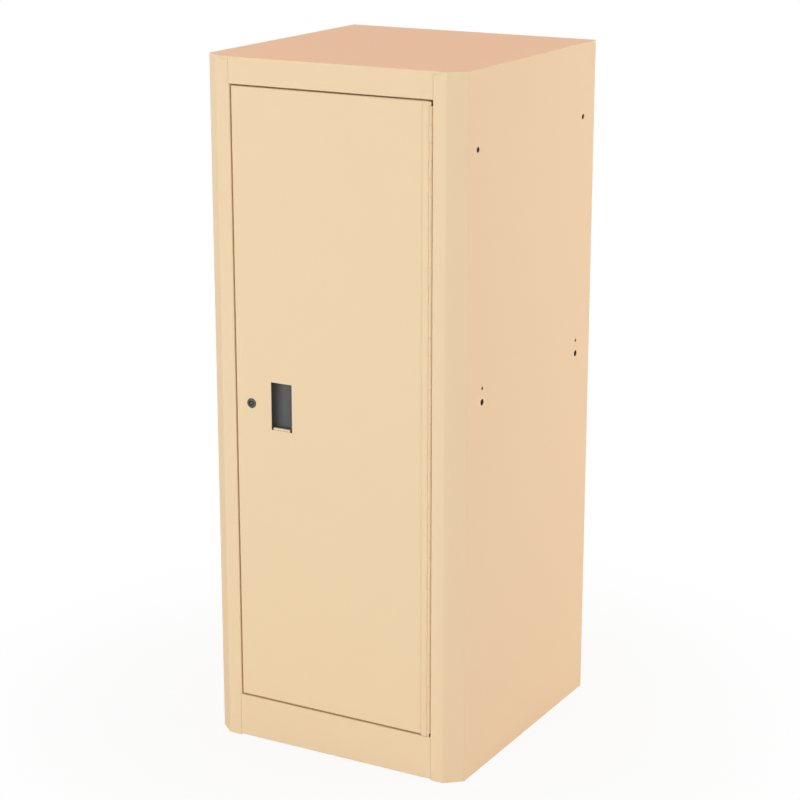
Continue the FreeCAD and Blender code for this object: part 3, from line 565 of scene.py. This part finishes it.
def arc(centre, radius, start, end, steps):
    """Points round a centre, from the start angle to the end angle."""
    turns = [math.radians(start + (end - start) * k / steps) for k in range(steps + 1)]
    return [(centre[0] + radius * math.cos(t), centre[1] + radius * math.sin(t)) for t in turns]


def curve(bend, steps):
    """Points along a cubic curve, from its first point to its last."""
    points = []
    for t in (k / steps for k in range(steps + 1)):
        weights = ((1 - t) ** 3, 3 * t * (1 - t) ** 2, 3 * t * t * (1 - t), t ** 3)
        points.append(tuple(sum(w * p[i] for w, p in zip(weights, bend)) for i in (0, 1)))
    return points


def turned(profile, steps):
    """A shape turned round +Z from (radius, height) points that start and end on the axis."""
    shape = bmesh.new()
    rings = []
    for radius, height in profile:
        if radius == 0:
            rings.append([shape.verts.new((0, 0, height))] * steps)
        else:
            ring = arc((0, 0), radius, 0, 360, steps)[:-1]
            rings.append([shape.verts.new((x, y, height)) for x, y in ring])
    for low, high in zip(rings, rings[1:]):
        for k in range(steps):
            corners = [low[k], low[(k + 1) % steps], high[(k + 1) % steps], high[k]]
            shape.faces.new(list(dict.fromkeys(corners)))
    return shape


def screw_head():
    """A pan head with a cross recess, which stands on the plane z = 0."""
    profile = [(0, 0)] + [(r * SCREW_RADIUS, h * SCREW_HEIGHT) for r, h in SCREW_CROWN]
    shape = turned(profile, SCREW_STEPS)
    for v in shape.verts:
        x, y = abs(v.co.x) / SCREW_RADIUS, abs(v.co.y) / SCREW_RADIUS
        near, far = min(x, y), max(x, y)
        on_top = v.co.z > CROSS_START * SCREW_HEIGHT
        if on_top and near < CROSS_WIDTH and far < CROSS_REACH:
            v.co.z -= SCREW_HEIGHT * (CROSS_DEPTH - CROSS_RISE * far)
    return mesh_object("screw_head", shape, smooth=40)


def rivet_head():
    """A low dome, which stands on the plane z = 0."""
    crown = arc((0, 0), 1, 0, 75, 5) + [(0, 1)]
    profile = [(0, 0)] + [(r * RIVET_RADIUS, h * RIVET_HEIGHT) for r, h in crown]
    return mesh_object("rivet_head", turned(profile, RIVET_STEPS), smooth=60)


def rounded_outline(x0, x1, z0, z1, radius):
    """The outline of a rectangle with rounded corners."""
    corners = ((x1 - radius, z1 - radius, 0), (x0 + radius, z1 - radius, 90),
               (x0 + radius, z0 + radius, 180), (x1 - radius, z0 + radius, 270))
    return [
        point for x, z, start in corners
        for point in arc((x, z), radius, start, start + 90, CUP_RIM_STEPS)
    ]


def block(x0, x1, y0, y1, z0, z1):
    """A box."""
    return extruded([[(x0, y0), (x1, y0), (x1, y1), (x0, y1)]], z0, z1)


def combined(name, base, steps):
    """The base with other shapes joined to it and cut from it, as one plain mesh."""
    body = mesh_object(name, base)
    tools = []
    for operation, shape in steps:
        tool = mesh_object("tool", shape)
        modifier = body.modifiers.new("step", "BOOLEAN")
        modifier.operation = operation
        modifier.solver = "EXACT"
        modifier.object = tool
        tools.append(tool)
    mesh = evaluated_mesh(body)
    for spare in [body] + tools:
        bpy.data.objects.remove(spare)
    shape = bmesh.new()
    shape.from_mesh(mesh)
    bpy.data.meshes.remove(mesh)
    return mesh_object(name, shape, smooth=24)


def joined(name, pieces, finish):
    """The pieces' meshes in one object of one material. The pieces go."""
    shape = bmesh.new()
    for piece in pieces:
        shape.from_mesh(piece.data)
    mesh = bpy.data.meshes.new(name)
    shape.to_mesh(mesh)
    shape.free()
    one_finish(mesh, finish)
    for piece in pieces:
        bpy.data.objects.remove(piece)
    return linked(name, mesh)


# ---------------------------------------------------------------- what repeats


def row_layout():
    """Copies of a piece in a straight row."""
    layout = Layout("pieces_in_a_row", {"Start": "place", "End": "place", "Count": "count"})
    layout.end(layout.row(*(layout.given(label) for label in ("Start", "End", "Count"))))
    return layout


def border_layout():
    """Copies of a piece round a rectangle in the plane of X and Z, evenly spaced on each side."""
    layout = Layout("pieces_round_a_panel", {
        "Low": "place", "High": "place", "Up": "count", "Across": "count",
    })
    low, high = (
        {name: layout.axis(name, layout.given(label)) for name in "XYZ"} for label in ("Low", "High")
    )

    def corner(x, z):
        return layout.node("ShaderNodeCombineXYZ", None, {"X": x, "Y": low["Y"], "Z": z})

    up, across = layout.given("Up"), layout.given("Across")
    step = (high["X"] - low["X"]) / (across + 1)
    rows = [layout.row(corner(x, low["Z"]), corner(x, high["Z"]), up) for x in (low["X"], high["X"])]
    rows += [
        layout.row(corner(low["X"] + step, z), corner(high["X"] - step, z), across)
        for z in (low["Z"], high["Z"])
    ]
    layout.end(layout.node("GeometryNodeJoinGeometry", None, {"Geometry": rows}))
    return layout


pieces_in_a_row = row_layout()
pieces_round_a_panel = border_layout()


# ---------------------------------------------------------------- pieces


def add_piece(piece, body, replaces=()):
    """Lets a finished piece move with its body."""
    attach(piece, body)
    if replaces:
        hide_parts(*replaces)


def liner_screws():
    """The screws that hold the door's liner, round its border."""
    low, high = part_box("door_liner")
    head = screw_head()
    screws = pieces_round_a_panel.make("liner_screws", {
        "Piece": head,
        "Low": (low.x + SCREW_INSET, high.y, low.z + SCREW_INSET),
        "High": (high.x - SCREW_INSET, high.y, high.z - SCREW_INSET),
        "Up": SCREWS_UP,
        "Across": SCREWS_ACROSS,
        "Turn": (math.radians(-90), 0, 0),
        "Finish": zinc,
    })
    bpy.data.objects.remove(head)
    add_piece(screws, "door")


def hinge():
    """Both leaves with short knuckles that take turns along the pin."""
    pin = sum(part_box("hinge_pin"), Vector()) / 2
    door_low, door_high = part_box("hinge_door_leaf")
    frame_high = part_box("hinge_frame_leaf")[1]
    low = door_low.z + KNUCKLE_MARGIN
    high = door_high.z - KNUCKLE_MARGIN
    count = 2 * int((high - low) / KNUCKLE_PITCH / 2) + 1  # odd, so both ends are the frame's
    pitch = (high - low) / count
    bore = arc(pin, BORE_RADIUS, 360, 0, BORE_STEPS)[:-1]

    # the door's leaf lies in the door's face, and its sheet runs into the middle of the knuckles
    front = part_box("door_skin")[0].y
    back = front + HINGE_SHEET
    edge = pin.x - KNUCKLE_RADIUS - LEAF_CUT
    root = edge - HINGE_LAP
    front_turn, back_turn = (
        math.degrees(math.asin((pin.y - y) / KNUCKLE_RADIUS)) for y in (front, back)
    )
    round_part = arc(pin, KNUCKLE_RADIUS, -180 + front_turn, 180 - back_turn, KNUCKLE_STEPS)
    door_knuckle = [(root, front)] + round_part + [(root, back)]
    reach = pin.x + BARE_END_REACH
    bare_end = [(root, front), (reach, front), (reach, back), (root, back)]
    flat = [(door_low.x, front), (edge, front), (edge, back), (door_low.x, back)]
    door_sheets = [
        (flat, door_low.z, door_high.z),
        (bare_end, door_low.z, low - KNUCKLE_GAP),
        (bare_end, high + KNUCKLE_GAP, door_high.z),
    ]

    # the frame's leaf lies on the side of the opening, and its sheet runs into the knuckles' right
    flat_x = frame_high.x - HINGE_SHEET
    flat_y = pin.y + KNUCKLE_RADIUS + LEAF_BEND_GAP
    lap_y = flat_y + HINGE_LAP
    root_turn = math.degrees(math.acos((KNUCKLE_RADIUS - HINGE_SHEET) / KNUCKLE_RADIUS))
    round_part = arc(pin, KNUCKLE_RADIUS, 360, root_turn, KNUCKLE_STEPS)
    frame_knuckle = round_part + [
        (flat_x, flat_y), (flat_x, lap_y), (frame_high.x, lap_y), (frame_high.x, flat_y),
    ]
    flat = [
        (flat_x, flat_y), (frame_high.x, flat_y), (frame_high.x, frame_high.y), (flat_x, frame_high.y),
    ]
    frame_sheets = [(flat, door_low.z, door_high.z)]

    for body, plan, sheets, first, node in (
        ("door", door_knuckle, door_sheets, 1, "hinge_door_leaf"),
        ("cabinet", frame_knuckle, frame_sheets, 0, "hinge_frame_leaf"),
    ):
        half = pitch / 2 - KNUCKLE_GAP
        knuckle = extruded([plan, bore], -half, half, HINGE_EDGE)
        knuckle = mesh_object("knuckle", knuckle, smooth=35)
        number = (count - first + 1) // 2
        start = low + (first + 0.5) * pitch
        knuckles = pieces_in_a_row.make("knuckles", {
            "Piece": knuckle,
            "Start": (0, 0, start),
            "End": (0, 0, start + 2 * pitch * (number - 1)),
            "Count": number,
            "Turn": (0, 0, 0),
            "Finish": body_paint,
        })
        bpy.data.objects.remove(knuckle)
        strips = [mesh_object("strip", extruded([leaf], z0, z1, HINGE_EDGE)) for leaf, z0, z1 in sheets]
        leaf = joined("piano_" + node, [knuckles] + strips, body_paint)
        add_piece(leaf, body, [node])

    rivet = rivet_head()
    rivet_y = (flat_y + frame_high.y) / 2
    rivets = pieces_in_a_row.make("hinge_rivets", {
        "Piece": rivet,
        "Start": (flat_x, rivet_y, door_low.z + RIVET_END),
        "End": (flat_x, rivet_y, door_high.z - RIVET_END),
        "Count": RIVETS,
        "Turn": (0, math.radians(-90), 0),
        "Finish": body_paint,
    })
    bpy.data.objects.remove(rivet)
    add_piece(rivets, "cabinet")


def cup_curve(left, right, face, start, push):
    """Plan of the cup's hollow, from its right edge round the deep side to its left edge.

    It begins at the depth start, and is pushed outwards for the cup's outside.
    """
    deep = face + CUP_DEPTH + push
    shallow = face + CUP_SHALLOW + push
    left_edge, right_edge = left - push, right + push
    deepest = left + CUP_DEEPEST
    steep_side = (
        (left_edge, start), (left_edge + CUP_STEEP_RUN * CUP_STEEP_LEAN, start + CUP_STEEP_RUN),
        (deepest - CUP_DEEP_BEND, deep), (deepest, deep),
    )
    back_bend = shallow + CUP_BACK_BEND * CUP_SLOPE
    back = (
        (deepest, deep), (deepest + CUP_BACK_BEND, deep),
        (right_edge - CUP_BACK_BEND, back_bend), (right_edge, shallow),
    )
    points = [(right_edge, start)]
    for bend in (back, steep_side):
        points += reversed(curve(bend, CUP_STEPS))
    return list(dict.fromkeys(points))


def pull_cup():
    """The moulded cup of the recessed pull, with one smooth hollow that is deep on its left."""
    low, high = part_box("pull_cup")
    left, right = low.x + CUP_RIM, high.x - CUP_RIM
    foot, top = low.z + CUP_RIM, high.z - CUP_RIM
    floor = foot + CUP_FLOOR_RISE
    face = low.y
    ahead = face - MM
    rim_outline = rounded_outline(low.x, high.x, low.z, high.z, CUP_RIM_CORNER)
    rim = extruded([rim_outline], face, face + CUP_RIM_THICKNESS)
    for v in rim.verts:
        v.co = Vector((v.co.x, v.co.z, v.co.y))  # from upwards to backwards
    outside = cup_curve(left, right, face, face + CUP_RIM_THICKNESS / 2, CUP_WALL)
    shell = extruded([outside], foot - CUP_WALL, top + CUP_WALL)
    inside = cup_curve(left, right, face, face + HOLLOW_START, 0)
    hollow = extruded([inside], floor, top, CUP_EDGE)
    mouth = block(left, right, ahead, face + MOUTH_DEPTH, floor, top)
    tab_room = block(left, right, ahead, face + CUP_TAB_ROOM, foot, floor + CUT_OVERLAP)
    cup = combined("moulded_pull_cup", rim, [
        ("UNION", shell), ("DIFFERENCE", hollow), ("DIFFERENCE", mouth), ("DIFFERENCE", tab_room),
    ])
    one_finish(cup.data, cup_plastic)
    add_piece(cup, "door", ["pull_cup"])


def pull_lip():
    """The rolled lip along the tab's upper edge, which the fingers pull on."""
    low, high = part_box("pull_cup")
    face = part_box("door_skin")[0].y
    inset = CUP_RIM + TAB_NOTCH + TAB_SIDE_GAP
    rolled = curve(LIP_FOOT, LIP_FOOT_STEPS) + curve(LIP_ROLL, LIP_ROLL_STEPS)[1:] + LIP_BACK
    outline = [(face + y * MM, tab_top + z * MM) for y, z in rolled]
    shape = extruded([outline], low.x + inset, high.x - inset, LIP_EDGE)
    for v in shape.verts:
        v.co = Vector((v.co.z, v.co.x, v.co.y))  # from upwards to the right
    lip = mesh_object("pull_lip", shape, smooth=50)
    one_finish(lip.data, lip_paint)
    add_piece(lip, "door")


liner_screws()
hinge()
pull_cup()
pull_lip()


# ---------------------------------------------------------------- camera, floor and light


def look(azimuth, elevation):
    """The turn of a camera or lamp that faces the object from this azimuth and elevation."""
    return Euler((math.radians(90 - elevation), 0, math.radians(azimuth)), "XYZ")


def add_camera():
    data = bpy.data.cameras.new("camera")
    data.lens = LENS
    data.sensor_width = SENSOR_WIDTH
    camera = linked("camera", data)
    camera.location = CAMERA_PLACE
    camera.rotation_euler = look(CAMERA_AZIMUTH, CAMERA_ELEVATION)
    bpy.context.scene.camera = camera


def add_floor():
    """A matt floor that the camera sees as white, with the object's shadow near its foot."""
    half = FLOOR_SIZE / 2
    mesh = bpy.data.meshes.new("studio_floor")
    corners = [(-half, -half, 0), (half, -half, 0), (half, half, 0), (-half, half, 0)]
    mesh.from_pydata(corners, [], [(0, 1, 2, 3)])
    floor = linked("studio_floor", mesh)
    finish = Finish("studio_floor")
    seen = finish.node("ShaderNodeLightPath", output="Is Camera Ray")
    matt = finish.node("ShaderNodeBsdfDiffuse", None, {"Color": FLOOR_GREY})
    glow = finish.node("ShaderNodeEmission", None, {"Color": WHITE, "Strength": 1.0})
    x, y = finish.along("X"), finish.along("Y")
    distance = finish.math("SQRT", x * x + y * y)
    share = seen * finish.step(distance, FLOOR_NEAR, FLOOR_FAR, FLOOR_GLOW, 1.0)
    mixed = finish.node("ShaderNodeMixShader", None, {"Fac": share, 1: matt, 2: glow})
    finish.node("ShaderNodeOutputMaterial", None, {"Surface": mixed})
    mesh.materials.append(finish.material)


def add_world():
    """Soft light from all round, and plain white behind the object and in what mirrors it."""
    world = bpy.data.worlds.new("studio")
    bpy.context.scene.world = world
    world.use_nodes = True
    sky = NodeTree(world.node_tree)
    sky.tree.nodes.clear()
    seen, mirrored, through = (
        sky.node("ShaderNodeLightPath", output=ray)
        for ray in ("Is Camera Ray", "Is Glossy Ray", "Is Transmission Ray")
    )
    share = sky.math("MAXIMUM", sky.math("MAXIMUM", seen, mirrored), through)
    soft, white = (
        sky.node("ShaderNodeBackground", None, {"Color": colour, "Strength": 1.0})
        for colour in (SOFT_LIGHT, WHITE)
    )
    mixed = sky.node("ShaderNodeMixShader", None, {"Fac": share, 1: soft, 2: white})
    sky.node("ShaderNodeOutputWorld", None, {"Surface": mixed})


def add_lamp(name, azimuth, elevation, distance, width, power, colour):
    """A square soft box that faces the middle of the cabinet."""
    data = bpy.data.lights.new(name, "AREA")
    data.size = width
    data.energy = power
    data.color = colour
    lamp = linked(name, data)
    turn = look(azimuth, elevation)
    middle = Vector((0, 0, (cad_bounds[0][2] + cad_bounds[1][2]) / 2))
    lamp.location = middle + turn.to_matrix() @ Vector((0, 0, distance))
    lamp.rotation_euler = turn


add_camera()
add_floor()
add_world()
for lamp in LAMPS:
    add_lamp(*lamp)

bpy.context.scene.view_settings.view_transform = "Standard"
